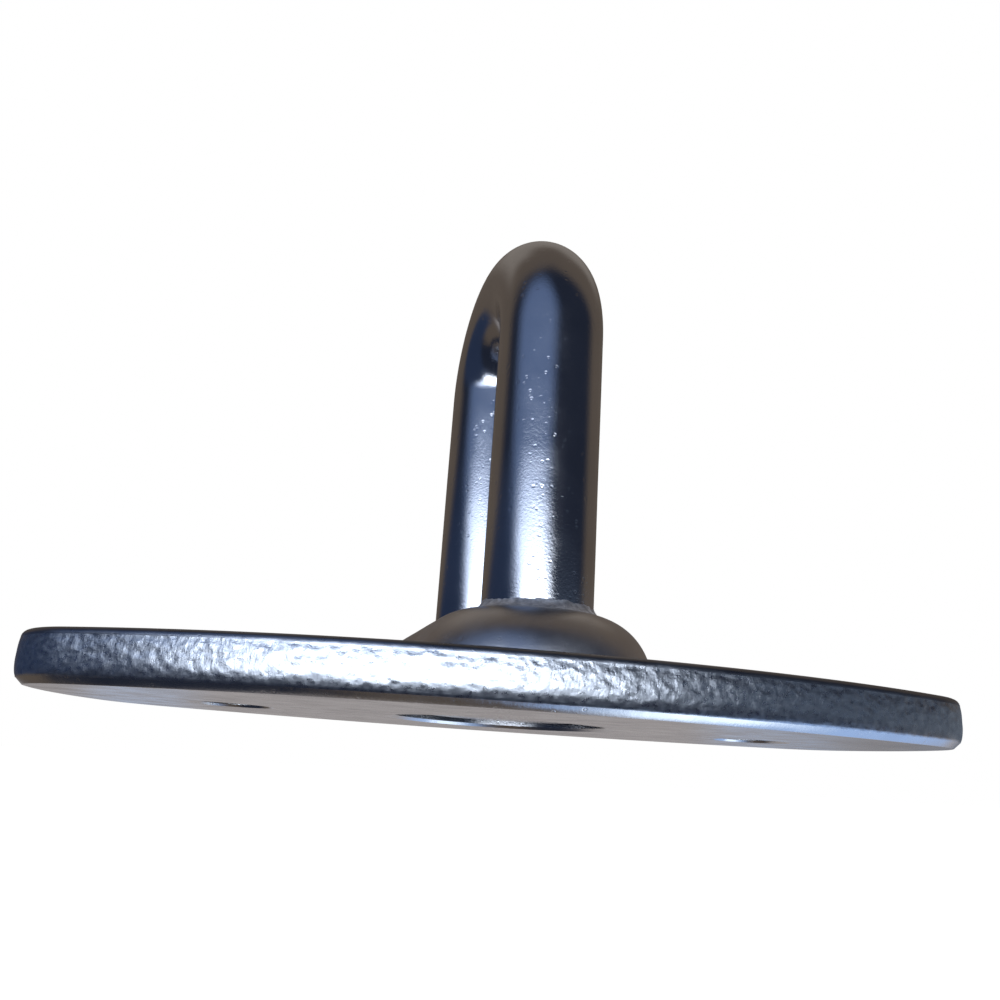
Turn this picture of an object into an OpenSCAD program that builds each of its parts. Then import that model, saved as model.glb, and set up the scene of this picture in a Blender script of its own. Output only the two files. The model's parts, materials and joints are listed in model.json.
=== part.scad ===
// Swivel hoist ring: a round-bar bail on a domed head that turns on a rounded two-bolt base plate.
// Units are millimetres. +Z is up, and the origin is the centre of the plate's bottom face.
// The plate's long axis is X. At rest the bail's plane is turned a little from the Y axis.

/* [Base plate] */
// Overall length of the plate
plate_length = 99; // [97:1:104]
// Width across the middle of the plate
plate_width = 58; // [56:1:62]
// Thickness of the plate
plate_thickness = 5; // [5:0.1:6]
// Radius of the shallow arc along each side
side_radius = 94; // [88:1:110]
// Radius of the shallow arc across each end
end_radius = 50; // [46:1:80]
// Radius of each of the four corners
corner_radius = 12; // [9:0.5:14]
// Bevel along the top edge
top_bevel = 0.4; // [0.2:0.1:0.8]
// Bevel along the bottom edge
bottom_bevel = 0.9; // [0.4:0.1:1]

/* [Mounting holes] */
// Distance between the centres of the two holes
hole_spacing = 60; // [56:1:66]
// Clearance hole for each fixing screw
screw_hole_d = 8.5; // [6.6:0.1:9]
// Mouth of the countersink on the top face
countersink_d = 15.5; // [13:0.5:16]

/* [Bail] */
// Diameter of the round bar
rod_d = 12; // [11:0.5:12.5]
// Distance between the centres of the two legs
leg_spacing = 21; // [20:0.5:22]
// Height of the centre of the arch above the plate's bottom face
arch_height = 43.5; // [35:0.5:60]
// Turn of the bail's plane from the Y axis, in degrees
rest_turn = 10; // [-90:0.5:90]

/* [Swivel head] */
// Top of the domed head above the plate's bottom face
head_top = 11.6; // [11.4:0.1:12]
// Distance between the centres of the head's two rounded ends
head_spacing = 18; // [16:0.5:18]
// Radius of the head's rounded shoulder
shoulder_radius = 6.5; // [6:0.1:6.5]

/* [Hidden] */

$fn = 96;
overshoot = 1;
running_gap = 0.05;
fitted_gap = 0.02;

// plate outline: two side arcs and two end arcs, with a corner arc that runs smoothly into each pair
side_centre = side_radius - plate_width / 2;
end_centre = plate_length / 2 - end_radius;
centre_gap = norm([end_centre, side_centre]);
along_gap = (centre_gap ^ 2 + (side_radius - corner_radius) ^ 2 - (end_radius - corner_radius) ^ 2)
            / (2 * centre_gap);
across_gap = sqrt((side_radius - corner_radius) ^ 2 - along_gap ^ 2);
corner_x = (along_gap * end_centre + across_gap * side_centre) / centre_gap;
corner_y = (along_gap * side_centre - across_gap * end_centre) / centre_gap - side_centre;
side_angle = atan(corner_x / (corner_y + side_centre));
end_angle = atan(corner_y / (corner_x - end_centre));
// the corners are cut a hair deeper than their neighbours, so that no two round faces only touch
corner_clearance = 0.04;
corner_reach = 10;

// turning joint, from the underside upwards
recess_depth = 3.2;
recess_radius = 12.5;
web_underside = recess_depth;
stud_radius = 5;
bush_radius = 6.5;
bush_stand = 0.7;
upper_washer_thickness = 0.8;
upper_washer_radius = 11;
lower_washer_thickness = 0.8;
lower_washer_radius = 11;
nut_thickness = 1.6;
nut_radius = 10;
nut_slot_width = 2.2;
nut_slot_depth = 1.4;
dowel_radius = 0.8;
dowel_length = 1.4;

washer_top = plate_thickness + upper_washer_thickness;
lower_washer_top = web_underside - running_gap;
lower_washer_bottom = lower_washer_top - lower_washer_thickness;
nut_bottom = lower_washer_bottom - nut_thickness;
stud_bottom = nut_bottom - 0.15;
stud_end_bevel = 0.4;

// swivel head
head_bottom = plate_thickness + 0.3;
pocket_roof = washer_top + running_gap;
pocket_radius = upper_washer_radius + 0.4;
shoulder_offset = 6.3;
shoulder_height = 4.6;
shoulder_drop = head_top - shoulder_height;
crown_radius = (shoulder_offset ^ 2 + shoulder_drop ^ 2 - shoulder_radius ^ 2)
               / (2 * (shoulder_drop - shoulder_radius));
crown_tangent = shoulder_offset * crown_radius / (crown_radius - shoulder_radius);
spigot_radius = 3.5;
spigot_top = 10.4;

// bail
rod_radius = rod_d / 2;
leg_offset = leg_spacing / 2;
leg_bottom = 8.4;
bead_radius = 1.2;
bead_height = 11.15;

// ---------------------------------------------------------------- base plate

// full disc with the plate's thickness and bevelled edges
module bevelled_disc(radius) {
    rotate_extrude()
        polygon([
            [0, 0],
            [radius - bottom_bevel, 0],
            [radius, bottom_bevel],
            [radius, plate_thickness - top_bevel],
            [radius - top_bevel, plate_thickness],
            [0, plate_thickness]
        ]);
}

// what the four big discs share: the plate with its corners still sharp
module sharp_plate() {
    intersection() {
        translate([0, -side_centre, 0])
            bevelled_disc(side_radius);
        translate([0, side_centre, 0])
            bevelled_disc(side_radius);
        translate([end_centre, 0, 0])
            bevelled_disc(end_radius);
        translate([-end_centre, 0, 0])
            bevelled_disc(end_radius);
    }
}

// everything outside one corner's arc, between the angles where the end arc and the side arc stop
module corner_cutter(first, last) {
    radius = corner_radius - corner_clearance;
    rotate([0, 0, first])
        rotate_extrude(angle = last - first)
            polygon([
                [radius + corner_reach, -overshoot],
                [radius - bottom_bevel - overshoot, -overshoot],
                [radius, bottom_bevel],
                [radius, plate_thickness - top_bevel],
                [radius - top_bevel - overshoot, plate_thickness + overshoot],
                [radius + corner_reach, plate_thickness + overshoot]
            ]);
}

module corner_cutters() {
    for (turn = [0, 180])
        rotate([0, 0, turn]) {
            translate([corner_x, corner_y, 0])
                corner_cutter(end_angle, 90 - side_angle);
            translate([corner_x, -corner_y, 0])
                corner_cutter(side_angle - 90, -end_angle);
        }
}

module screw_hole() {
    sink_depth = (countersink_d - screw_hole_d) / 2;
    translate([0, 0, -overshoot])
        cylinder(d = screw_hole_d, h = plate_thickness + 2 * overshoot);
    translate([0, 0, plate_thickness - sink_depth])
        cylinder(d1 = screw_hole_d, d2 = countersink_d + 2 * overshoot, h = sink_depth + overshoot);
}

module base_plate() {
    color([0.72, 0.73, 0.75])
        difference() {
            sharp_plate();
            corner_cutters();
            translate([0, 0, -overshoot])
                cylinder(r = bush_radius, h = plate_thickness + 2 * overshoot);
            translate([0, 0, -overshoot])
                cylinder(r = recess_radius, h = recess_depth + overshoot);
            for (side = [-1, 1])
                translate([side * hole_spacing / 2, 0, 0])
                    screw_hole();
        }
}

// ---------------------------------------------------------------- bearing pieces

module ring(outer, inner, height) {
    difference() {
        cylinder(r = outer, h = height);
        translate([0, 0, -overshoot])
            cylinder(r = inner, h = height + 2 * overshoot);
    }
}

module bush() {
    color([0.72, 0.53, 0.28])
        translate([0, 0, web_underside])
            ring(bush_radius - fitted_gap, stud_radius + running_gap,
                 plate_thickness - web_underside + bush_stand);
}

module upper_thrust_washer() {
    color([0.72, 0.53, 0.28])
        translate([0, 0, plate_thickness])
            ring(upper_washer_radius, bush_radius + running_gap, upper_washer_thickness);
}

module lower_thrust_washer() {
    color([0.72, 0.53, 0.28])
        translate([0, 0, lower_washer_bottom])
            ring(lower_washer_radius, stud_radius + running_gap, lower_washer_thickness);
}

// ---------------------------------------------------------------- swivel

// half cross-section of the dome: a shallow crown running into a round shoulder
module dome_profile() {
    intersection() {
        translate([0, head_bottom])
            square([shoulder_offset + shoulder_radius + overshoot, head_top - head_bottom + overshoot]);
        union() {
            translate([shoulder_offset, shoulder_height])
                circle(r = shoulder_radius);
            square([shoulder_offset, head_top - overshoot]);
            intersection() {
                translate([0, head_top - crown_radius])
                    circle(r = crown_radius);
                square([crown_tangent, head_top + overshoot]);
            }
        }
    }
}

module dome_solid() {
    for (side = [-1, 1])
        translate([0, side * head_spacing / 2, 0])
            rotate_extrude()
                dome_profile();
    translate([0, head_spacing / 2, 0])
        rotate([90, 0, 0])
            linear_extrude(height = head_spacing)
                union() {
                    dome_profile();
                    mirror([1, 0])
                        dome_profile();
                }
}

module leg_sockets() {
    for (side = [-1, 1])
        translate([0, side * leg_offset, leg_bottom - fitted_gap])
            cylinder(r = rod_radius + fitted_gap, h = head_top);
}

module swivel_head() {
    color([0.66, 0.64, 0.6])
        rotate([0, 0, rest_turn])
            difference() {
                dome_solid();
                leg_sockets();
                translate([0, 0, head_bottom - overshoot])
                    cylinder(r = pocket_radius, h = pocket_roof - head_bottom + overshoot);
                translate([0, 0, head_bottom])
                    cylinder(r = spigot_radius + fitted_gap, h = spigot_top - head_bottom + fitted_gap);
            }
}

module bail() {
    color([0.75, 0.76, 0.78])
        rotate([0, 0, rest_turn]) {
            for (side = [-1, 1])
                translate([0, side * leg_offset, leg_bottom])
                    cylinder(r = rod_radius, h = arch_height - leg_bottom);
            translate([0, 0, arch_height])
                rotate([0, 90, 0])
                    rotate([0, 0, 90])
                        rotate_extrude(angle = 180)
                            translate([leg_offset, 0])
                                circle(r = rod_radius);
        }
}

// ring of weld around one leg where it enters the dome; side is -1 for the front leg
module weld_bead(side) {
    color([0.8, 0.8, 0.8])
        rotate([0, 0, rest_turn])
            difference() {
                translate([0, side * leg_offset, bead_height])
                    rotate_extrude()
                        translate([rod_radius, 0])
                            circle(r = bead_radius);
                translate([0, side * leg_offset, 0])
                    cylinder(r = rod_radius, h = 2 * head_top);
                dome_solid();
                translate([0, side * leg_offset, 0])
                    cylinder(r = rod_radius + fitted_gap, h = head_top - overshoot);
            }
}

module dowel_hole() {
    translate([0, stud_radius, stud_bottom - overshoot])
        cylinder(r = dowel_radius + fitted_gap, h = overshoot + nut_bottom - stud_bottom + dowel_length);
}

module stud() {
    color([0.7, 0.71, 0.73])
        rotate([0, 0, rest_turn])
            difference() {
                union() {
                    translate([0, 0, stud_bottom])
                        cylinder(r1 = stud_radius - stud_end_bevel, r2 = stud_radius, h = stud_end_bevel);
                    translate([0, 0, stud_bottom + stud_end_bevel])
                        cylinder(r = stud_radius, h = pocket_roof - stud_bottom - stud_end_bevel);
                    translate([0, 0, pocket_roof])
                        cylinder(r = spigot_radius, h = spigot_top - pocket_roof);
                }
                dowel_hole();
            }
}

module retaining_nut() {
    color([0.7, 0.71, 0.73])
        rotate([0, 0, rest_turn])
            difference() {
                translate([0, 0, nut_bottom])
                    ring(nut_radius, stud_radius + fitted_gap, nut_thickness);
                for (side = [-1, 1])
                    translate([side * nut_radius, 0, nut_bottom + nut_thickness / 2])
                        cube([2 * nut_slot_depth, nut_slot_width, nut_thickness + overshoot], center = true);
                dowel_hole();
            }
}

module locking_dowel() {
    color([0.5, 0.5, 0.52])
        rotate([0, 0, rest_turn])
            translate([0, stud_radius, nut_bottom])
                cylinder(r = dowel_radius, h = dowel_length);
}

base_plate();
bush();
upper_thrust_washer();
lower_thrust_washer();
bail();
swivel_head();
weld_bead(-1);  // weld_bead_front
weld_bead(1);  // weld_bead_rear
stud();
retaining_nut();
locking_dowel();
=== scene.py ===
"""Swivel hoist ring in polished stainless steel over a pale floor, seen from just below its plate."""

import json
import math

import bmesh
import bpy
from mathutils import Matrix, Vector, noise


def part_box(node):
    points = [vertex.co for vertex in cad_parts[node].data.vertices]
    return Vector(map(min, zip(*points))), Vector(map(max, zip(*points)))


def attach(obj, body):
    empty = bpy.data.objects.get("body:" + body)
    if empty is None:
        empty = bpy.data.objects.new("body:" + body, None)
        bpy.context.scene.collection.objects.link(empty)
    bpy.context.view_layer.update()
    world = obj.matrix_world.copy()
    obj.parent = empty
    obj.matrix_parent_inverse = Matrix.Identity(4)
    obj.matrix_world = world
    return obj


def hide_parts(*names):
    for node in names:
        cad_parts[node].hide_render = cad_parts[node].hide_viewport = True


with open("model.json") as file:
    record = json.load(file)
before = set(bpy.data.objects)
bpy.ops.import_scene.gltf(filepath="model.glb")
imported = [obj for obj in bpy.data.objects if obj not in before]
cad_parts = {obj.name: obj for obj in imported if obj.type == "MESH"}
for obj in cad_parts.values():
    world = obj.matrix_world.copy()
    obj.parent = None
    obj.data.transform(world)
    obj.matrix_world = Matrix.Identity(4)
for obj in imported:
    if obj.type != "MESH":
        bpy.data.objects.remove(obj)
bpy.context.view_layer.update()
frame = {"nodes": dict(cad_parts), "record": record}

MM = 0.001
TAU = 2 * math.pi
QUARTER = math.pi / 2
UP = Vector((0, 0, 1))

# ------------------------------------------------------------------ sizes

plate_low, plate_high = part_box("base_plate")
head_low, head_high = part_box("swivel_head")
bail_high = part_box("bail")[1]
fixing_holes = next(mount for mount in frame["record"]["mounts"] if mount["name"] == "fixing_holes")

# Plate: its box and its holes come from the frame, and its arcs repeat the CAD's radii.
PLATE_TOP = plate_high.z
HALF_LENGTH = (plate_high.x - plate_low.x) / 2
HALF_WIDTH = (plate_high.y - plate_low.y) / 2
SIDE_RADIUS = 94 * MM
END_RADIUS = 50 * MM
CORNER_RADIUS = 12 * MM
HOLE_X = fixing_holes["dims"]["spacing_x_mm"] / 2 * MM
HOLE_RADIUS = fixing_holes["dims"]["hole_r_mm"] * MM
SINK_RADIUS = 7.75 * MM
RECESS_RADIUS = 12.5 * MM
RECESS_DEPTH = 3.2 * MM
BORE_RADIUS = 6.5 * MM

# Head: an oval dome with a rolled shoulder and a shallow pocket for the upper washer underneath.
HEAD_BOTTOM = head_low.z
HEAD_TOP = head_high.z
HEAD_SPACING = 9 * MM
SHOULDER_RADIUS = 6.5 * MM
SHOULDER_OFFSET = 6.3 * MM
SHOULDER_HEIGHT = 4.6 * MM
POCKET_RADIUS = 11.4 * MM
POCKET_DEPTH = 0.55 * MM

# Bail: round bar whose plane stands at REST_TURN off the plate's cross axis.
REST_TURN = math.radians(10)
ROD_RADIUS = 6 * MM
LEG_OFFSET = 10.5 * MM
LEG_BOTTOM = 8.4 * MM
ARCH_HEIGHT = bail_high.z - LEG_OFFSET - ROD_RADIUS
SWIVEL_TURN = Matrix.Rotation(REST_TURN, 4, "Z")

# ------------------------------------------------------------------ mesh helpers


def new_piece(name, bm, body, node, smooth_angle):
    """Turns a bmesh into an object that rides on a CAD body and stands for a CAD node."""
    mesh = bpy.data.meshes.new(name)
    bmesh.ops.recalc_face_normals(bm, faces=bm.faces)
    bm.to_mesh(mesh)
    bm.free()
    mesh.shade_smooth()
    mesh.set_sharp_from_angle(angle=math.radians(smooth_angle))
    obj = bpy.data.objects.new(name, mesh)
    bpy.context.scene.collection.objects.link(obj)
    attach(obj, body)
    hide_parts(node)
    return obj


def add_loop(bm, points):
    """Adds a vertex at each point."""
    return [bm.verts.new(point) for point in points]


def bridge(bm, first, second, material=0):
    """Quads between two closed loops with the same number of points."""
    count = len(first)
    faces = []
    for i in range(count):
        j = (i + 1) % count
        face = bm.faces.new((first[i], first[j], second[j], second[i]))
        face.material_index = material
        faces.append(face)
    return faces


def bridge_all(bm, loops, material=0):
    """Skin over a row of loops."""
    for first, second in zip(loops, loops[1:]):
        bridge(bm, first, second, material)


def cap(bm, loops, material=0):
    """Flat face with holes: the first loop is the outside and the others are holes."""
    edges = []
    for loop in loops:
        for i, vert in enumerate(loop):
            edges.append(bm.edges.get((vert, loop[(i + 1) % len(loop)])))
    made = bmesh.ops.triangle_fill(bm, use_beauty=True, use_dissolve=False, edges=edges)
    for item in made["geom"]:
        if isinstance(item, bmesh.types.BMFace):
            item.material_index = material


def around(angle):
    """Level unit vector at an angle from +X."""
    return Vector((math.cos(angle), math.sin(angle), 0))


def circle(centre_x, radius, z, count=96):
    """Level ring of points round a vertical axis through (centre_x, 0)."""
    return [Vector((centre_x, 0, z)) + radius * around(TAU * i / count) for i in range(count)]


# ------------------------------------------------------------------ base plate

END_CENTRE = HALF_LENGTH - END_RADIUS
SIDE_CENTRE = SIDE_RADIUS - HALF_WIDTH

# The plate's material slots, in the order in which plate_materials gives them.
# The TOP_EDGE slot holds a steel tinted much darker than the rest of the plate: painted shade, a dark
# reflection line painted along the plate's top edge.
UNDERSIDE, SHEARED, BEVEL, TOP_EDGE, TOP_FACE = range(5)

EDGE_DEPTH = 0.13 * MM
SIDE_ROWS = 18
ROUNDING_ROWS = 6
UV_SCALE = 10 * MM


def corner_centre():
    """Centre of the corner arc that touches both the side arc and the end arc."""
    to_side = SIDE_RADIUS - CORNER_RADIUS
    to_end = END_RADIUS - CORNER_RADIUS
    gap = math.hypot(END_CENTRE, SIDE_CENTRE)
    along = (gap**2 + to_side**2 - to_end**2) / (2 * gap)
    across = math.sqrt(to_side**2 - along**2)
    x = (along * END_CENTRE + across * SIDE_CENTRE) / gap
    y = (along * SIDE_CENTRE - across * END_CENTRE) / gap - SIDE_CENTRE
    return x, y


CORNER_X, CORNER_Y = corner_centre()
SIDE_ANGLE = math.atan2(CORNER_X, CORNER_Y + SIDE_CENTRE)
END_ANGLE = math.atan2(CORNER_Y, CORNER_X - END_CENTRE)


def plate_arcs():
    """The outline's arcs in order: centre, radius, first angle, last angle and whether left as sheared."""
    end, right = Vector((END_CENTRE, 0)), Vector((CORNER_X, CORNER_Y))
    side, left = Vector((0, -SIDE_CENTRE)), Vector((-CORNER_X, CORNER_Y))
    half = [
        (end, END_RADIUS, -END_ANGLE, END_ANGLE, False),
        (right, CORNER_RADIUS, END_ANGLE, QUARTER - SIDE_ANGLE, False),
        (side, SIDE_RADIUS, QUARTER - SIDE_ANGLE, QUARTER + SIDE_ANGLE, True),
        (left, CORNER_RADIUS, QUARTER + SIDE_ANGLE, math.pi - END_ANGLE, False),
    ]
    turned = [
        (-centre, radius, first + math.pi, last + math.pi, sheared)
        for centre, radius, first, last, sheared in half
    ]
    return half + turned


def plate_path(step):
    """Points round the outline: centre, radius, angle, distance along it and share of sheared roughness."""
    dressed_share = 0.25
    fade = 4 * MM
    fewest_points = 8
    path = []
    travelled = 0.0
    for centre, radius, first, last, sheared in plate_arcs():
        length = radius * (last - first)
        count = max(fewest_points, round(length / step))
        for i in range(count):
            share = i / count
            to_end = min(share, 1 - share) * length
            roughness = min(1.0, dressed_share + to_end / fade) if sheared else dressed_share
            angle = first + (last - first) * share
            path.append((centre, radius, angle, travelled + length * share, roughness))
        travelled += length
    return path, travelled


def side_roughness(along, height):
    """How far the sheared edge is eaten in at a point, 0 to 1: slanted scales over slow waves."""
    scale_length, scale_height = 1.0 * MM, 0.8 * MM
    wave_length, wave_height = 6 * MM, 4 * MM
    place = Vector(((along + 0.7 * height) / scale_length, (height - 0.15 * along) / scale_height, 3.1))
    scales = noise.voronoi(place)[0][0]
    fine = 0.5 + 0.5 * noise.noise(place * 2.3)
    waves = 0.5 + 0.5 * noise.noise(Vector((along / wave_length, height / wave_height, 0.4)))
    return min(1.0, 0.5 * scales + 0.22 * fine + 0.3 * waves)


def edge_rows():
    """The plate's edge from bottom to top, as rows of (inset, height, roughness, material above it).

    The side bulges by crown at its middle and leans in by lean at its foot, between a bevel and a rounding.
    """
    bevel = 0.95 * MM
    rounding = 0.7 * MM
    crown = 0.1 * MM
    lean = 0.2 * MM
    low_margin, low_step = 0.12 * MM, 0.03 * MM
    high_margin = 0.25 * MM
    arris, arris_drop = 0.07 * MM, 0.05 * MM
    smooth, arris_roughness, rim_roughness, rounding_roughness = 0.0, 0.25, 0.5, 0.15
    foot = crown + lean
    side_low, side_high = bevel - foot, PLATE_TOP - rounding
    rows = [
        (bevel + low_margin, 0.0, smooth, BEVEL),
        (bevel, low_step, smooth, BEVEL),
        (foot + arris, side_low - arris_drop, arris_roughness, SHEARED),
    ]
    for i in range(SIDE_ROWS + 1):
        share = i / SIDE_ROWS
        inset = crown * (2 * share - 1) ** 4 + lean * max(0.0, 1 - 2 * share) ** 2
        calm = 0.4 + 0.6 * min(1.0, 2 * share)
        roughness = rim_roughness if i == SIDE_ROWS else calm
        material = TOP_EDGE if i == SIDE_ROWS else SHEARED
        rows.append((inset, side_low + (side_high - side_low) * share, roughness, material))
    for i in range(1, ROUNDING_ROWS):
        turn = QUARTER * i / ROUNDING_ROWS
        inset = crown + (rounding - crown) * (1 - math.cos(turn))
        rows.append((inset, side_high + rounding * math.sin(turn), rounding_roughness, TOP_EDGE))
    rows.append((rounding + high_margin, PLATE_TOP, smooth, TOP_FACE))
    return rows


def unwrap(faces, path, total, low, high, layer):
    """Wraps a strip of the edge: u runs along the outline and v is the height."""
    for i, face in enumerate(faces):
        first = path[i][3]
        last = path[i + 1][3] if i + 1 < len(path) else total
        corners = [(first, low), (last, low), (last, high), (first, high)]
        for corner, (u, v) in zip(face.loops, corners):
            corner[layer].uv = (u / UV_SCALE, v / UV_SCALE)


def build_edge(bm):
    """The plate's whole edge. Returns its lowest and highest loops."""
    wrap = bm.loops.layers.uv.new("wrap")
    path, total = plate_path(0.25 * MM)
    rows = edge_rows()
    loops = []
    for inset, z, roughness, _ in rows:
        points = []
        for centre, radius, angle, along, rough_share in path:
            eaten = EDGE_DEPTH * roughness * rough_share * side_roughness(along, z) if roughness else 0.0
            points.append(centre.to_3d() + (radius - inset - eaten) * around(angle) + z * UP)
        loops.append(add_loop(bm, points))
    for k in range(len(loops) - 1):
        faces = bridge(bm, loops[k], loops[k + 1], rows[k][3])
        unwrap(faces, path, total, rows[k][1], rows[k + 1][1], wrap)
    return loops[0], loops[-1]


def screw_hole(bm, x):
    """Countersunk hole. Returns its top and bottom loops."""
    sink_depth = SINK_RADIUS - HOLE_RADIUS
    soft = 0.04 * MM
    soft_mouth, mouth_drop = 0.12 * MM, 0.05 * MM
    deburr, deburr_height = 0.3 * MM, 0.25 * MM
    section = [
        (SINK_RADIUS + soft_mouth, PLATE_TOP),
        (SINK_RADIUS, PLATE_TOP - mouth_drop),
        (HOLE_RADIUS + soft, PLATE_TOP - sink_depth + soft),
        (HOLE_RADIUS, PLATE_TOP - sink_depth - soft),
        (HOLE_RADIUS, deburr_height),
        (HOLE_RADIUS + deburr, 0.0),
    ]
    loops = [add_loop(bm, circle(x, radius, z)) for radius, z in section]
    bridge_all(bm, loops, BEVEL)
    return loops[0], loops[-1]


def bearing_well(bm):
    """Bore and recess round the swivel axis. Returns their top and bottom loops."""
    fillet = 0.4 * MM
    chamfer = 0.35 * MM
    section = [
        (BORE_RADIUS, PLATE_TOP),
        (BORE_RADIUS, RECESS_DEPTH),
        (RECESS_RADIUS - fillet, RECESS_DEPTH),
        (RECESS_RADIUS, RECESS_DEPTH - fillet),
        (RECESS_RADIUS, chamfer),
        (RECESS_RADIUS + chamfer, 0.0),
    ]
    loops = [add_loop(bm, circle(0, radius, z, 144)) for radius, z in section]
    bridge_all(bm, loops, BEVEL)
    return loops[0], loops[-1]


def build_plate():
    """Rounded plate with its sheared edge, two countersunk holes and the bearing's well."""
    bm = bmesh.new()
    bottom, top = build_edge(bm)
    top_loops, bottom_loops = [top], [bottom]
    for high, low in (screw_hole(bm, -HOLE_X), screw_hole(bm, HOLE_X), bearing_well(bm)):
        top_loops.append(high)
        bottom_loops.append(low)
    cap(bm, top_loops, TOP_FACE)
    cap(bm, bottom_loops, UNDERSIDE)
    piece = new_piece("plate", bm, "base", "base_plate", 40)
    for polygon in piece.data.polygons:
        if polygon.material_index in (UNDERSIDE, TOP_FACE):
            polygon.use_smooth = False
    return piece


# ------------------------------------------------------------------ bail


def bail_path():
    """The bar's centre line up one leg, over the arch and down the other, as (centre, outward)."""
    leg_steps = 60
    arch_steps = 72
    leg_length = ARCH_HEIGHT - LEG_BOTTOM
    path = []
    for i in range(leg_steps):
        z = LEG_BOTTOM + leg_length * i / leg_steps
        path.append((Vector((0, -LEG_OFFSET, z)), Vector((0, -1, 0))))
    for i in range(arch_steps + 1):
        angle = math.pi * i / arch_steps
        outward = Vector((0, -math.cos(angle), math.sin(angle)))
        path.append((Vector((0, 0, ARCH_HEIGHT)) + LEG_OFFSET * outward, outward))
    for i in range(1, leg_steps + 1):
        z = ARCH_HEIGHT - leg_length * i / leg_steps
        path.append((Vector((0, LEG_OFFSET, z)), Vector((0, 1, 0))))
    return path


def build_bail():
    """Round bar along the bail's path, with the faint unevenness of hand bending and polishing."""
    per_ring = 96
    dent_depth = 0.03 * MM
    dent_spacing = 9 * MM
    bm = bmesh.new()
    loops = []
    for centre, outward in bail_path():
        points = []
        for j in range(per_ring):
            angle = TAU * j / per_ring
            direction = outward * math.cos(angle) + Vector((1, 0, 0)) * math.sin(angle)
            place = centre + direction * ROD_RADIUS
            dent = 0.5 + 0.5 * noise.noise(place / dent_spacing)
            points.append(SWIVEL_TURN @ (place - direction * dent_depth * dent))
        loops.append(add_loop(bm, points))
    bridge_all(bm, loops)
    bm.faces.new(loops[0])
    bm.faces.new(loops[-1])
    return new_piece("bail_bar", bm, "swivel", "bail", 50)


# ------------------------------------------------------------------ swivel head

CROWN_DROP = HEAD_TOP - SHOULDER_HEIGHT
SHOULDER_REACH = SHOULDER_OFFSET**2 + CROWN_DROP**2 - SHOULDER_RADIUS**2
CROWN_RADIUS = SHOULDER_REACH / (2 * (CROWN_DROP - SHOULDER_RADIUS))
CROWN_CENTRE = HEAD_TOP - CROWN_RADIUS


def dome_profile(steps=28):
    """The dome's half section from its rim up to its crown, as (distance out, height)."""
    lean = math.asin(SHOULDER_OFFSET / (CROWN_RADIUS - SHOULDER_RADIUS))
    low = math.asin((HEAD_BOTTOM - SHOULDER_HEIGHT) / SHOULDER_RADIUS)
    crown_steps = steps // 2
    section = []
    for i in range(steps + 1):
        angle = low + (QUARTER - lean - low) * i / steps
        out = SHOULDER_OFFSET + SHOULDER_RADIUS * math.cos(angle)
        section.append((out, SHOULDER_HEIGHT + SHOULDER_RADIUS * math.sin(angle)))
    for i in range(1, crown_steps + 1):
        angle = lean * (1 - i / crown_steps)
        section.append((CROWN_RADIUS * math.sin(angle), CROWN_CENTRE + CROWN_RADIUS * math.cos(angle)))
    return section


def dome_height(x, y):
    """Height of the dome's surface over a point in the head's own axes, or 0 outside it."""
    out = math.hypot(x, max(0.0, abs(y) - HEAD_SPACING))
    crown_edge = SHOULDER_OFFSET * CROWN_RADIUS / (CROWN_RADIUS - SHOULDER_RADIUS)
    if out < crown_edge:
        return CROWN_CENTRE + math.sqrt(CROWN_RADIUS**2 - out**2)
    if out < SHOULDER_OFFSET + SHOULDER_RADIUS:
        return SHOULDER_HEIGHT + math.sqrt(SHOULDER_RADIUS**2 - (out - SHOULDER_OFFSET) ** 2)
    return 0.0


def stadium(out, z, per_end=64, per_side=24):
    """Closed loop at a distance out from the head's spine, in the head's own axes."""
    points = []
    for sign in (1, -1):
        for i in range(per_end):
            angle = math.pi * i / per_end
            y = HEAD_SPACING + out * math.sin(angle)
            points.append(Vector((sign * out * math.cos(angle), sign * y, z)))
        for i in range(per_side):
            share = i / per_side
            points.append(Vector((-sign * out, sign * HEAD_SPACING * (1 - 2 * share), z)))
    return points


def head_rows():
    """The head's section from inside its flat underside, over a small rim chamfer and up the dome."""
    margin, chamfer = 1.2 * MM, 0.25 * MM
    chamfer_end, chamfer_rise = 0.06 * MM, 0.05 * MM
    section = dome_profile()
    rim = section[0][0]
    rows = [
        (rim - margin, HEAD_BOTTOM),
        (rim - chamfer, HEAD_BOTTOM),
        (rim - chamfer_end, HEAD_BOTTOM + chamfer_rise),
    ]
    clear_of_rim = HEAD_BOTTOM + 0.2 * MM
    clear_of_crown = 0.3 * MM
    return rows + [(out, z) for out, z in section if z > clear_of_rim and out > clear_of_crown]


def build_head():
    """Oval dome, polished slightly uneven, with the washer's pocket underneath."""
    wave_depth = 0.05 * MM
    wave_spacing = 5 * MM
    wavy_above = HEAD_BOTTOM + 0.1 * MM
    pocket_points = 176
    bm = bmesh.new()
    loops = []
    for out, z in head_rows():
        points = []
        for point in stadium(out, z):
            wave = 0.5 + 0.5 * noise.noise(point / wave_spacing)
            sink = wave_depth * wave if z > wavy_above else 0.0
            inward = Vector((point.x, point.y * 0.6, max(0.0, z - HEAD_BOTTOM)))
            points.append(SWIVEL_TURN @ (point - inward.normalized() * sink))
        loops.append(add_loop(bm, points))
    bridge_all(bm, loops)
    bm.faces.new(loops[-1])
    pocket = []
    for z in (HEAD_BOTTOM, HEAD_BOTTOM + POCKET_DEPTH):
        ring = circle(0, POCKET_RADIUS, z, pocket_points)
        pocket.append(add_loop(bm, [SWIVEL_TURN @ point for point in ring]))
    bridge_all(bm, pocket)
    bm.faces.new(pocket[-1])
    cap(bm, [loops[0], pocket[0]])
    return new_piece("head_dome", bm, "swivel", "swivel_head", 50)


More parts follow.
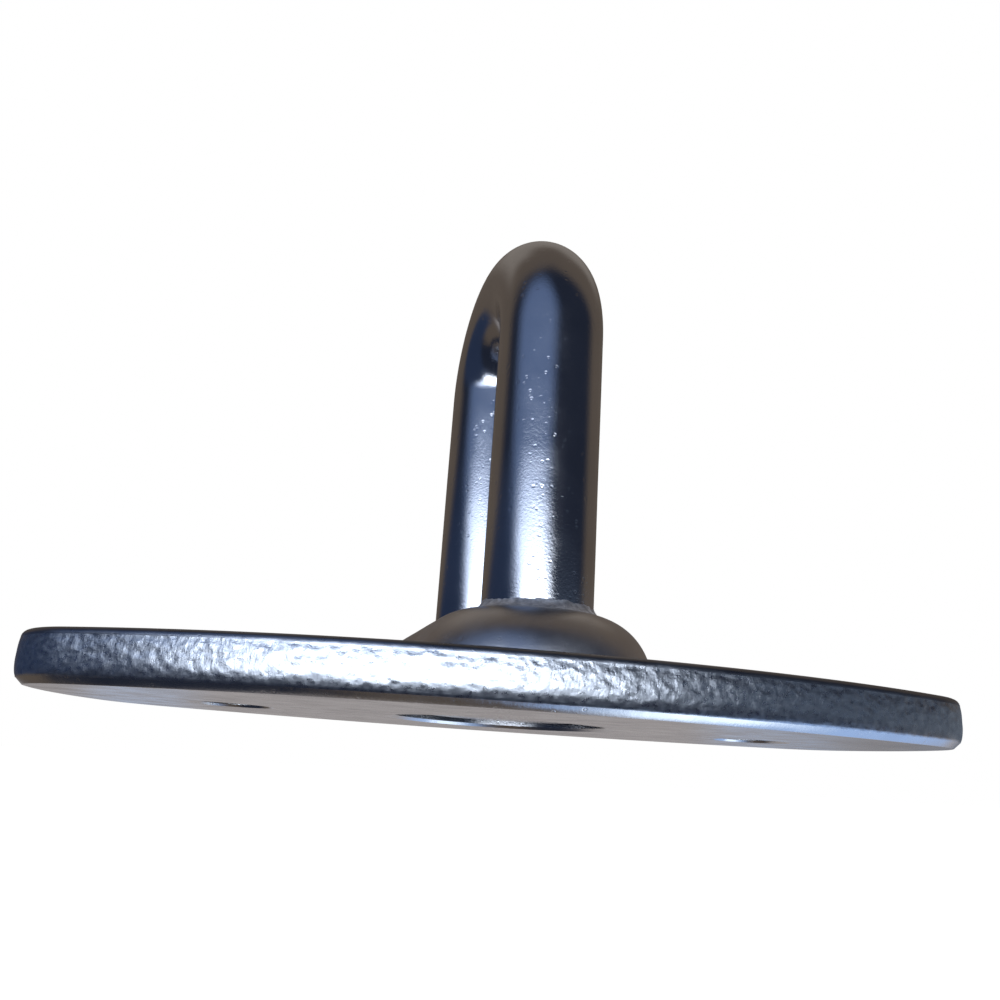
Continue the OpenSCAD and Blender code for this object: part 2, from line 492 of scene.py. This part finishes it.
def build_bead(side, name, node):
    """Dressed weld round one leg: a concave fillet that follows the dome and creeps unevenly up the bar."""
    per_ring = 160
    rows = 9
    hollow = 1.6
    overlap, sink = 0.08 * MM, 0.06 * MM
    root_overlap, root_sink = 0.5 * MM, 0.4 * MM
    centre_y = side * LEG_OFFSET
    bm = bmesh.new()
    loops = []
    for k in range(rows):
        share = k / (rows - 1)
        points = []
        for i in range(per_ring):
            direction = around(TAU * i / per_ring)
            coarse = noise.noise(direction * 3.2 + side * 5.0 * UP)
            fine = noise.noise(direction * 14 + (side * 2.0 + share) * UP)
            foot = (1.0 + 0.14 * coarse + 0.06 * fine) * MM
            climb = (1.1 + 0.3 * coarse + 0.2 * fine) * MM
            out = ROD_RADIUS - overlap + foot * (1 - share) ** hollow
            x = direction.x * out
            y = centre_y + direction.y * out
            z = dome_height(x, y) - sink + climb * share**hollow
            points.append(SWIVEL_TURN @ Vector((x, y, z)))
        loops.append(add_loop(bm, points))
    root = []
    for point in circle(0, ROD_RADIUS - root_overlap, 0, per_ring):
        y = centre_y + point.y
        root.append(SWIVEL_TURN @ Vector((point.x, y, dome_height(point.x, y) - root_sink)))
    loops.append(add_loop(bm, root))
    bridge_all(bm, loops + loops[:1])
    return new_piece(name, bm, "swivel", node, 60)


# ------------------------------------------------------------------ materials


class Nodes:
    """Small helper that adds nodes to a material and wires them."""

    def __init__(self, name):
        self.material = bpy.data.materials.new(name)
        self.material.use_nodes = True
        self.tree = self.material.node_tree
        self.shader = self.tree.nodes["Principled BSDF"]

    def add(self, kind, **values):
        """Adds a node and sets its properties, or its inputs where it has no such property."""
        node = self.tree.nodes.new(kind)
        for key, value in values.items():
            if hasattr(node, key):
                setattr(node, key, value)
            else:
                node.inputs[key.replace("_", " ")].default_value = value
        return node

    def link(self, source, target):
        self.tree.links.new(source, target)

    def feed(self, name, source):
        """Wires a texture into one of the shader's own sockets."""
        self.link(source, self.shader.inputs[name])

    def set(self, name, value):
        """Sets one of the shader's own sockets."""
        self.shader.inputs[name].default_value = value

    def coordinates(self, scale=(1, 1, 1), turn=0, uv=None):
        """Object coordinates in metres, or a UV layer, stretched by scale and turned by degrees about Z."""
        if uv:
            source = self.add("ShaderNodeUVMap", uv_map=uv).outputs["UV"]
        else:
            source = self.add("ShaderNodeTexCoord").outputs["Object"]
        mapping = self.add("ShaderNodeMapping", Scale=scale, Rotation=(0, 0, math.radians(turn)))
        self.link(source, mapping.inputs["Vector"])
        return mapping.outputs["Vector"]

    def noise(self, vector, scale, detail=3.0, roughness=0.5):
        node = self.add("ShaderNodeTexNoise", Scale=scale, Detail=detail, Roughness=roughness)
        self.link(vector, node.inputs["Vector"])
        return node.outputs["Fac"]

    def cells(self, vector, **values):
        """Distance to the nearest of the points scattered by a Voronoi texture."""
        node = self.add("ShaderNodeTexVoronoi", Randomness=1.0, **values)
        self.link(vector, node.inputs["Vector"])
        return node.outputs["Distance"]

    def ramp(self, value, stops):
        """Colour ramp through stops of (place, colour), where a plain number is a grey."""
        node = self.add("ShaderNodeValToRGB")
        while len(node.color_ramp.elements) < len(stops):
            node.color_ramp.elements.new(0.5)
        for element, (place, colour) in zip(node.color_ramp.elements, stops):
            element.position = place
            element.color = (*colour, 1) if isinstance(colour, tuple) else (colour, colour, colour, 1)
        self.link(value, node.inputs["Fac"])
        return node.outputs["Color"]

    def math(self, operation, first, second):
        node = self.add("ShaderNodeMath", operation=operation)
        for socket, value in zip(node.inputs, (first, second)):
            if isinstance(value, (int, float)):
                socket.default_value = value
            else:
                self.link(value, socket)
        return node.outputs["Value"]

    def bump(self, height, distance, strength=1.0, normal=None):
        node = self.add("ShaderNodeBump", Distance=distance, Strength=strength)
        self.link(height, node.inputs["Height"])
        if normal:
            self.link(normal, node.inputs["Normal"])
        return node.outputs["Normal"]


def steel(name, light, dark, polish, pits, waves, brushing=0.0, mottle=90, metallic=1.0):
    """Stainless steel: mottled tint, uneven polish, fine pits, slow waves and optional brushing along X.

    polish is the lowest and highest roughness, and pits, waves and brushing are depths in millimetres.
    Texture scales are in features per metre.
    """
    wave_scale, smudge_scale, streak_scale = 120, 260, 400
    patch_scale, speck_scale, grain_scale = 500, 1050.0, 3600
    n = Nodes(name)
    n.set("Metallic", metallic)
    place = n.coordinates()
    n.feed("Base Color", n.ramp(n.noise(place, mottle, detail=4), [(0.3, dark), (0.7, light)]))
    smudges = n.noise(place, smudge_scale, detail=5, roughness=0.6)
    n.feed("Roughness", n.ramp(smudges, [(0.3, polish[0]), (0.75, polish[1])]))
    normal = n.bump(n.noise(place, wave_scale, detail=2), waves * MM)
    if brushing:
        along_x = n.coordinates(scale=(0.12, 1, 1))
        streaks = n.noise(along_x, streak_scale, detail=4, roughness=0.65)
        normal = n.bump(streaks, brushing * MM, 1.0, normal)
    specks = n.cells(place, Scale=speck_scale)
    patches = n.ramp(n.noise(place, patch_scale, detail=2), [(0.43, 0.0), (0.54, 1.0)])
    rings = n.ramp(specks, [(0.07, 0.0), (0.16, 1.0), (0.26, 0.0)])
    holes = n.math("MULTIPLY", n.math("MULTIPLY", rings, patches), 0.85)
    grain = n.math("MULTIPLY", n.noise(place, grain_scale, detail=3, roughness=0.65), 0.9)
    n.feed("Normal", n.bump(n.math("SUBTRACT", grain, holes), pits * MM, 1.0, normal))
    return n.material


def sheared_edge():
    """The plate's cut side: soft scales, fine slanted streaks and a coarse grain, calmer towards its foot."""
    n = Nodes("plate_edge_steel")
    n.set("Metallic", 1.0)
    level = n.coordinates(scale=(1.0, 1.3, 1.0), uv="wrap")
    leaning = n.coordinates(scale=(1.0, 1.4, 1.0), turn=25, uv="wrap")
    slanted = n.coordinates(scale=(1.0, 0.45, 1.0), turn=-38, uv="wrap")
    scales = n.cells(leaning, feature="SMOOTH_F1", Scale=11.0, Smoothness=0.5)
    streaks = n.noise(slanted, 34, detail=3, roughness=0.6)
    grain = n.noise(level, 46, detail=3, roughness=0.6)
    height = n.math("MULTIPLY", scales, 0.55)
    height = n.math("ADD", height, n.math("MULTIPLY", streaks, 0.34))
    height = n.math("ADD", height, n.math("MULTIPLY", grain, 0.16))
    upright = n.add("ShaderNodeSeparateXYZ")
    n.link(n.coordinates(uv="wrap"), upright.inputs["Vector"])
    calm = n.ramp(upright.outputs["Y"], [(0.1, 0.4), (0.28, 1.0)])
    tints = [(0.3, (0.5, 0.51, 0.53)), (0.7, (0.76, 0.77, 0.78))]
    n.feed("Base Color", n.ramp(n.noise(level, 11, detail=4), tints))
    n.feed("Roughness", n.ramp(n.noise(level, 16), [(0.3, 0.24), (0.8, 0.42)]))
    n.feed("Normal", n.bump(n.math("MULTIPLY", height, calm), 0.1 * MM, 0.9))
    return n.material


def bronze():
    """Turned bearing bronze."""
    n = Nodes("bush_bronze")
    n.set("Metallic", 1.0)
    place = n.coordinates()
    tints = [(0.3, (0.45, 0.28, 0.12)), (0.7, (0.66, 0.44, 0.2))]
    n.feed("Base Color", n.ramp(n.noise(place, 200), tints))
    n.feed("Roughness", n.ramp(n.noise(place, 500), [(0.3, 0.28), (0.7, 0.45)]))
    turning_marks = n.noise(n.coordinates(scale=(1, 1, 8)), 700)
    n.feed("Normal", n.bump(turning_marks, 0.02 * MM))
    return n.material


def plate_materials():
    """The plate's materials in the order of its slots: UNDERSIDE, SHEARED, BEVEL, TOP_EDGE, TOP_FACE."""
    brushed = {"pits": 0.012, "waves": 0.02, "brushing": 0.006}
    ground = {"pits": 0.01, "waves": 0.02}
    underside = steel("plate_face_steel", (0.66, 0.63, 0.6), (0.5, 0.47, 0.45), (0.2, 0.36), **brushed)
    bevel = steel("plate_bevel_steel", (0.7, 0.69, 0.68), (0.55, 0.54, 0.54), (0.16, 0.3), **ground)
    # Top edge: the same ground steel tinted dark, a painted dark reflection line along the plate's top rim
    # rather than a different metal.
    painted_shade_edge = steel("painted_shade_top_edge_steel", (0.4, 0.41, 0.44), (0.26, 0.27, 0.3), (0.24, 0.4), **ground)
    top_face = steel("plate_top_steel", (0.95, 0.94, 0.93), (0.8, 0.79, 0.78), (0.3, 0.42), **brushed)
    return [underside, sheared_edge(), bevel, painted_shade_edge, top_face]


def dress(piece, *materials):
    """Gives a new piece its materials."""
    for material in materials:
        piece.data.materials.append(material)


def dress_nodes(names, material):
    """Gives CAD nodes that stay visible a better material."""
    for name in names:
        for holder in frame["nodes"][name].material_slots:
            holder.material = material


# ------------------------------------------------------------------ stage, light and camera


def build_floor():
    """Plain pale floor well under the ring, which glows evenly and is left out of the reflections."""
    drop = 90 * MM
    reach = 4.0
    corners = [(-reach, -reach), (reach, -reach), (reach, reach), (-reach, reach)]
    mesh = bpy.data.meshes.new("floor")
    mesh.from_pydata([(x, y, -drop) for x, y in corners], [], [(0, 1, 2, 3)])
    floor = bpy.data.objects.new("floor", mesh)
    bpy.context.scene.collection.objects.link(floor)
    n = Nodes("floor_paint")
    n.set("Base Color", (0.9, 0.9, 0.9, 1))
    n.set("Roughness", 1.0)
    n.set("Specular IOR Level", 0.0)
    n.set("Emission Color", (1, 1, 1, 1))
    n.set("Emission Strength", 1.0)
    mesh.materials.append(n.material)
    floor.visible_glossy = False
    floor.visible_diffuse = False


class Studio:
    """Builds the room that the steel reflects, as soft-edged panels laid over a plain wall colour.

    Azimuths are degrees from -Y towards +X and elevations are degrees over the horizon, from the object.
    """

    MIX_BELOW, MIX_ABOVE, MIX_RESULT = 6, 7, 2

    def __init__(self, wall):
        self.world = bpy.data.worlds.new("studio")
        bpy.context.scene.world = self.world
        self.world.use_nodes = True
        self.tree = self.world.node_tree
        self.tree.nodes.clear()
        place = self.tree.nodes.new("ShaderNodeTexCoord").outputs["Generated"]
        parts = self.tree.nodes.new("ShaderNodeSeparateXYZ")
        self.tree.links.new(place, parts.inputs["Vector"])
        backwards = self.calc("MULTIPLY", parts.outputs["Y"], -1.0)
        compass = self.calc("ARCTAN2", parts.outputs["X"], backwards)
        self.azimuth = self.calc("MULTIPLY", compass, math.degrees(1))
        self.elevation = self.calc("MULTIPLY", self.calc("ARCSINE", parts.outputs["Z"]), math.degrees(1))
        self.colour = wall

    def calc(self, operation, first, second=None):
        node = self.tree.nodes.new("ShaderNodeMath")
        node.operation = operation
        for socket, value in zip(node.inputs, (first, second)):
            if isinstance(value, (int, float)):
                socket.default_value = value
            elif value is not None:
                self.tree.links.new(value, socket)
        return node.outputs["Value"]

    def rise(self, value, start, width):
        """0 below start - width / 2 and 1 above start + width / 2."""
        node = self.tree.nodes.new("ShaderNodeMapRange")
        node.interpolation_type = "SMOOTHSTEP"
        node.inputs["From Min"].default_value = start - width / 2
        node.inputs["From Max"].default_value = start + width / 2
        self.tree.links.new(value, node.inputs["Value"])
        return node.outputs["Result"]

    def lay(self, colour, mask):
        """Lays a colour over the room where the mask is 1."""
        mix = self.tree.nodes.new("ShaderNodeMix")
        mix.data_type = "RGBA"
        self.tree.links.new(mask, mix.inputs["Factor"])
        if isinstance(self.colour, tuple):
            mix.inputs[self.MIX_BELOW].default_value = (*self.colour, 1)
        else:
            self.tree.links.new(self.colour, mix.inputs[self.MIX_BELOW])
        mix.inputs[self.MIX_ABOVE].default_value = (*colour, 1)
        self.colour = mix.outputs[self.MIX_RESULT]

    def panel(self, colour, azimuths, elevations, soft, behind=False):
        """Soft panel between two azimuths, or outside them if it is behind, and between two elevations.

        soft is the width of its edges in azimuth and in elevation.
        """
        left = self.rise(self.azimuth, azimuths[0], soft[0])
        right = self.rise(self.azimuth, azimuths[1], soft[0])
        across = self.calc("SUBTRACT", left, right)
        if behind:
            across = self.calc("SUBTRACT", 1.0, across)
        low = self.rise(self.elevation, elevations[0], soft[1])
        high = self.rise(self.elevation, elevations[1], soft[1])
        self.lay(colour, self.calc("MULTIPLY", across, self.calc("SUBTRACT", low, high)))

    def oval(self, colour, centre, size, softness):
        """Soft oval of light or dark, with its centre and half size as (azimuth, elevation)."""
        across = self.calc("DIVIDE", self.calc("SUBTRACT", self.azimuth, centre[0]), size[0])
        up = self.calc("DIVIDE", self.calc("SUBTRACT", self.elevation, centre[1]), size[1])
        squares = self.calc("ADD", self.calc("MULTIPLY", across, across), self.calc("MULTIPLY", up, up))
        self.lay(colour, self.calc("SUBTRACT", 1.0, self.rise(self.calc("SQRT", squares), 1.0, softness)))

    def finish(self):
        """The reflected room for every ray but the camera's own, which see a white sweep."""
        room = self.tree.nodes.new("ShaderNodeBackground")
        self.tree.links.new(self.colour, room.inputs["Color"])
        sweep = self.tree.nodes.new("ShaderNodeBackground")
        sweep.inputs["Color"].default_value = (1, 1, 1, 1)
        path = self.tree.nodes.new("ShaderNodeLightPath")
        chooser = self.tree.nodes.new("ShaderNodeMixShader")
        out = self.tree.nodes.new("ShaderNodeOutputWorld")
        self.tree.links.new(path.outputs["Is Camera Ray"], chooser.inputs["Fac"])
        self.tree.links.new(room.outputs["Background"], chooser.inputs[1])
        self.tree.links.new(sweep.outputs["Background"], chooser.inputs[2])
        self.tree.links.new(chooser.outputs["Shader"], out.inputs["Surface"])


def build_room():
    """The room from back to front: each panel covers what was laid before it."""
    taupe = (0.118, 0.097, 0.082)
    navy = (0.018, 0.024, 0.043)
    slate = (0.125, 0.15, 0.19)
    window_blue = (0.52, 0.64, 0.88)
    studio = Studio(taupe)
    # Behind the ring: a paler ceiling, a pale floor and two narrow windows.
    studio.panel((0.24, 0.215, 0.195), (-125, 125), (42, 68), (24, 16), behind=True)
    studio.panel((0.44, 0.42, 0.43), (-95, 95), (-60, 3), (30, 10), behind=True)
    studio.panel(window_blue, (-167, -161), (-9, 1), (4, 4))
    studio.panel(window_blue, (150, 158), (-9, 1), (4, 4))
    # Dark floor and dark wall in front of it.
    studio.panel(navy, (-150, -60), (-75, 8), (24, 8))
    studio.panel(taupe, (-150, -95), (-38, 8), (14, 8))
    studio.panel(navy, (-70, 70), (-75, 2), (24, 8))
    studio.oval(navy, (-11, 8), (104, 68), 0.25)
    # To the right: a slate wall over a lit floor, which the plate's lower bevel picks up.
    studio.panel(slate, (72, 150), (-12, 8), (24, 8))
    studio.panel((0.45, 0.66, 1.1), (62, 140), (-80, -26), (24, 16))
    studio.oval((1.5, 1.8, 2.2), (100, -60), (40, 10), 0.5)
    # In front: a dim blue haze, then the soft window light on the bar and on the plate's side.
    studio.oval((0.12, 0.18, 0.34), (-40, 26), (42, 34), 0.7)
    studio.panel((0.085, 0.115, 0.17), (18, 76), (-6, 10), (24, 10))
    studio.oval((1.5, 1.8, 2.4), (-34, 12.5), (40, 6), 0.8)
    studio.oval((4.2, 4.7, 5.5), (-14, 2.5), (37, 10), 0.4)
    # Dark left-hand side, which the plate's left end reflects.
    studio.panel((0.045, 0.07, 0.14), (-92, -56), (-10, 10), (12, 3))
    studio.oval((0.025, 0.04, 0.085), (-92, 0), (50, 19), 0.4)
    studio.finish()


def overhead_light():
    """Soft lamp behind and above, which lights the beads' matt oxide and stays out of the reflections."""
    azimuth, elevation = math.radians(150), math.radians(62)
    distance = 0.6
    towards = Vector((math.sin(azimuth), -math.cos(azimuth), math.tan(elevation))).normalized()
    data = bpy.data.lights.new("overhead", "AREA")
    data.shape = "DISK"
    data.size = 0.3
    data.energy = 3.0
    lamp = bpy.data.objects.new("overhead", data)
    bpy.context.scene.collection.objects.link(lamp)
    aim = Vector((0, 0, 20 * MM))
    lamp.location = aim + towards * distance
    lamp.rotation_mode = "QUATERNION"
    lamp.rotation_quaternion = towards.to_track_quat("Z", "Y")
    lamp.visible_glossy = False


def build_camera():
    """Wide lens close to the plate, just below it and looking slightly up."""
    image_pixels = 1000
    focal_pixels = 816.4
    place = Vector((-12.73, -94.67, -3.97)) * MM
    forward = Vector((0.1163, 0.9617, 0.2482)).normalized()
    right = Vector((0.9888, -0.1358, 0.0626))
    right = (right - forward * right.dot(forward)).normalized()
    data = bpy.data.cameras.new("camera")
    data.sensor_width = 36
    data.lens = data.sensor_width * focal_pixels / image_pixels
    data.shift_y = 0.05
    data.clip_start = 0.005
    camera = bpy.data.objects.new("camera", data)
    bpy.context.scene.collection.objects.link(camera)
    turn = Matrix((right, right.cross(forward), -forward)).transposed()
    camera.matrix_world = Matrix.Translation(place) @ turn.to_4x4()
    bpy.context.scene.camera = camera


# ------------------------------------------------------------------ build

plate = build_plate()
bail = build_bail()
head = build_head()
front_bead = build_bead(-1, "weld_front", "weld_bead_front")
rear_bead = build_bead(1, "weld_rear", "weld_bead_rear")

bar_steel = steel("bar_steel", (0.7, 0.69, 0.69), (0.6, 0.59, 0.59), (0.1, 0.2), pits=0.012, waves=0.012)
dome_steel = steel("dome_steel", (0.86, 0.83, 0.8), (0.6, 0.58, 0.56), (0.28, 0.42), pits=0.015, waves=0.03)
bead_finish = {"pits": 0.08, "waves": 0.08, "mottle": 1100, "metallic": 0.75}
bead_steel = steel("bead_steel", (0.95, 0.95, 0.96), (0.4, 0.4, 0.42), (0.36, 0.6), **bead_finish)
turned_finish = {"pits": 0.01, "waves": 0.01}
turned_steel = steel("turned_steel", (0.62, 0.62, 0.63), (0.48, 0.48, 0.49), (0.2, 0.36), **turned_finish)

dress(plate, *plate_materials())
dress(bail, bar_steel)
dress(head, dome_steel)
dress(front_bead, bead_steel)
dress(rear_bead, bead_steel)
dress_nodes(("bush", "upper_thrust_washer", "lower_thrust_washer"), bronze())
dress_nodes(("stud", "retaining_nut", "locking_dowel"), turned_steel)

build_floor()
build_room()
overhead_light()
build_camera()
bpy.context.scene.view_settings.view_transform = "Standard"
